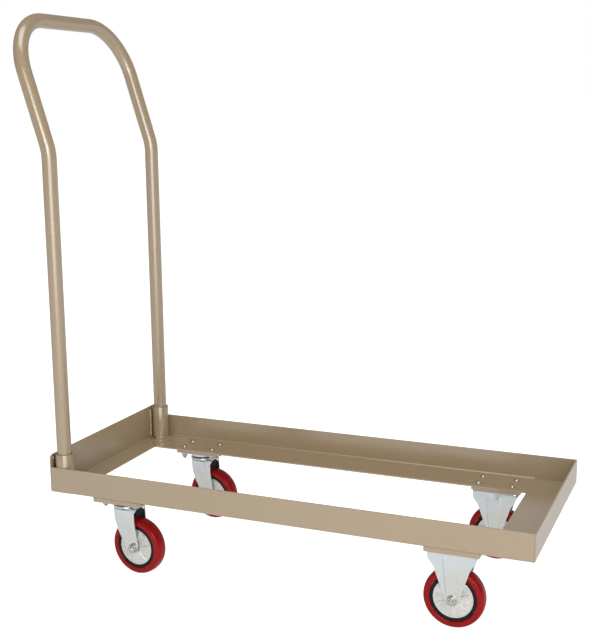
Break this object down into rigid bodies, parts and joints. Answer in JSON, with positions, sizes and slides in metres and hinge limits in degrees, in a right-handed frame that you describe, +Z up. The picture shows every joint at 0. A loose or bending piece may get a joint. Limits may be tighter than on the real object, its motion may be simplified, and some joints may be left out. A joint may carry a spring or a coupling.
{
  "type": "furniture dolly",
  "caption": "Open angle-frame dolly with a lift-out tube push handle at one end, swivel casters under the handle and rigid casters under the nose.",
  "frame": {"origin": "on the floor under the middle of the whole dolly's bounding box, handle included", "axes": "+X from the handle end towards the nose, +Y to the left of a person pushing, +Z up"},
  "size_m": [1.1449, 0.47, 1.2132],
  "materials": {
    "painted_steel": "semi-gloss tan powder coat",
    "zinc_plated_steel": "bright zinc plate",
    "polyurethane_tyre": "glossy crimson polyurethane",
    "black_core": "moulded black plastic",
    "hub_cover": "pale ribbed moulded cover",
    "bearing_steel": "greased dark steel"
  },
  "bodies": {
    "frame": {"side_rail_right": "painted_steel", "side_rail_left": "painted_steel", "nose_end_rail": "painted_steel", "handle_end_rail": "painted_steel", "socket_right": "painted_steel", "socket_left": "painted_steel", "caster_pad_rear_right": "painted_steel", "caster_pad_rear_left": "painted_steel", "caster_pad_front_right": "painted_steel", "caster_pad_front_left": "painted_steel", "caster_bolt_rear_right_1": "zinc_plated_steel", "caster_bolt_rear_right_2": "zinc_plated_steel", "caster_bolt_rear_right_3": "zinc_plated_steel", "caster_bolt_rear_right_4": "zinc_plated_steel", "caster_bolt_rear_left_1": "zinc_plated_steel", "caster_bolt_rear_left_2": "zinc_plated_steel", "caster_bolt_rear_left_3": "zinc_plated_steel", "caster_bolt_rear_left_4": "zinc_plated_steel", "caster_bolt_front_right_1": "zinc_plated_steel", "caster_bolt_front_right_2": "zinc_plated_steel", "caster_bolt_front_right_3": "zinc_plated_steel", "caster_bolt_front_right_4": "zinc_plated_steel", "caster_bolt_front_left_1": "zinc_plated_steel", "caster_bolt_front_left_2": "zinc_plated_steel", "caster_bolt_front_left_3": "zinc_plated_steel", "caster_bolt_front_left_4": "zinc_plated_steel", "swivel_plate_rear_right": "zinc_plated_steel", "kingpin_rear_right": "zinc_plated_steel", "swivel_plate_rear_left": "zinc_plated_steel", "kingpin_rear_left": "zinc_plated_steel", "rigid_fork_front_right": "zinc_plated_steel", "axle_bolt_front_right": "zinc_plated_steel", "rigid_fork_front_left": "zinc_plated_steel", "axle_bolt_front_left": "zinc_plated_steel"},
    "handle": {"push_handle": "painted_steel"},
    "swivel_rear_right": {"ball_ring_rear_right": "bearing_steel", "swivel_fork_rear_right": "zinc_plated_steel", "axle_bolt_rear_right": "zinc_plated_steel"},
    "swivel_rear_left": {"ball_ring_rear_left": "bearing_steel", "swivel_fork_rear_left": "zinc_plated_steel", "axle_bolt_rear_left": "zinc_plated_steel"},
    "wheel_rear_right": {"tyre_rear_right": "polyurethane_tyre", "wheel_core_rear_right": "black_core", "hub_cover_left_rear_right": "hub_cover", "hub_cover_right_rear_right": "hub_cover"},
    "wheel_rear_left": {"tyre_rear_left": "polyurethane_tyre", "wheel_core_rear_left": "black_core", "hub_cover_left_rear_left": "hub_cover", "hub_cover_right_rear_left": "hub_cover"},
    "wheel_front_right": {"tyre_front_right": "polyurethane_tyre", "wheel_core_front_right": "black_core", "hub_cover_left_front_right": "hub_cover", "hub_cover_right_front_right": "hub_cover"},
    "wheel_front_left": {"tyre_front_left": "polyurethane_tyre", "wheel_core_front_left": "black_core", "hub_cover_left_front_left": "hub_cover", "hub_cover_right_front_left": "hub_cover"}
  },
  "joints": [
    {"name": "handle_lift_out", "type": "slide", "parent": "frame", "child": "handle", "axis": [0, 0, 1], "range_m": [0, 0.085]},
    {"name": "swivel_rear_right_turn", "type": "hinge", "parent": "frame", "child": "swivel_rear_right", "pos_m": [-0.33649, -0.181, 0.15], "axis": [0, 0, 1], "continuous": true},
    {"name": "swivel_rear_left_turn", "type": "hinge", "parent": "frame", "child": "swivel_rear_left", "pos_m": [-0.33649, 0.181, 0.15], "axis": [0, 0, 1], "continuous": true},
    {"name": "wheel_rear_right_spin", "type": "hinge", "parent": "swivel_rear_right", "child": "wheel_rear_right", "pos_m": [-0.30367, -0.18445, 0.0625], "axis": [0.1045, 0.9945, 0], "continuous": true},
    {"name": "wheel_rear_left_spin", "type": "hinge", "parent": "swivel_rear_left", "child": "wheel_rear_left", "pos_m": [-0.30367, 0.17755, 0.0625], "axis": [0.1045, 0.9945, 0], "continuous": true},
    {"name": "wheel_front_right_spin", "type": "hinge", "parent": "frame", "child": "wheel_front_right", "pos_m": [0.40751, -0.181, 0.0625], "axis": [0, 1, 0], "continuous": true},
    {"name": "wheel_front_left_spin", "type": "hinge", "parent": "frame", "child": "wheel_front_left", "pos_m": [0.40751, 0.181, 0.0625], "axis": [0, 1, 0], "continuous": true}
  ]
}
